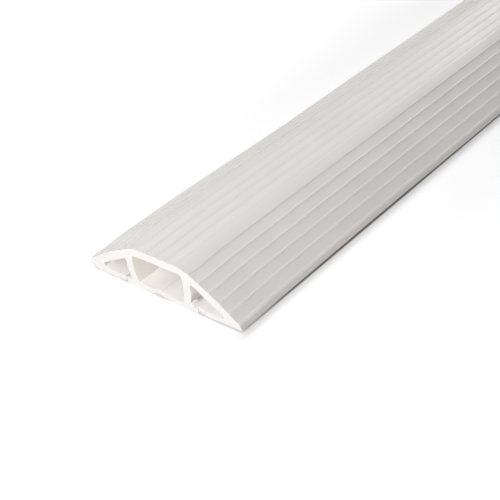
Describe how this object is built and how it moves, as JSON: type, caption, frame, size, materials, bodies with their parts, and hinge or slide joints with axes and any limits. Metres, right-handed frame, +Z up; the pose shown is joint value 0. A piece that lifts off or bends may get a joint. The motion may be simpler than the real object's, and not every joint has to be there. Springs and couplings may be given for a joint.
{
  "type": "cable cover",
  "caption": "Straight length of soft ribbed floor cable cover: low ramped section with hollow channels, each slit underneath so that cables press in from below.",
  "frame": {"origin": "on the floor, under the middle of the length and the middle of the width", "axes": "+X across the cover, +Y along its length, +Z up from the floor"},
  "size_m": [0.065, 1, 0.0153],
  "materials": {
    "cover": "satin white flexible PVC as it leaves the extrusion die, sawn at both ends"
  },
  "bodies": {
    "root": {"cable_cover": "cover"}
  },
  "joints": []
}
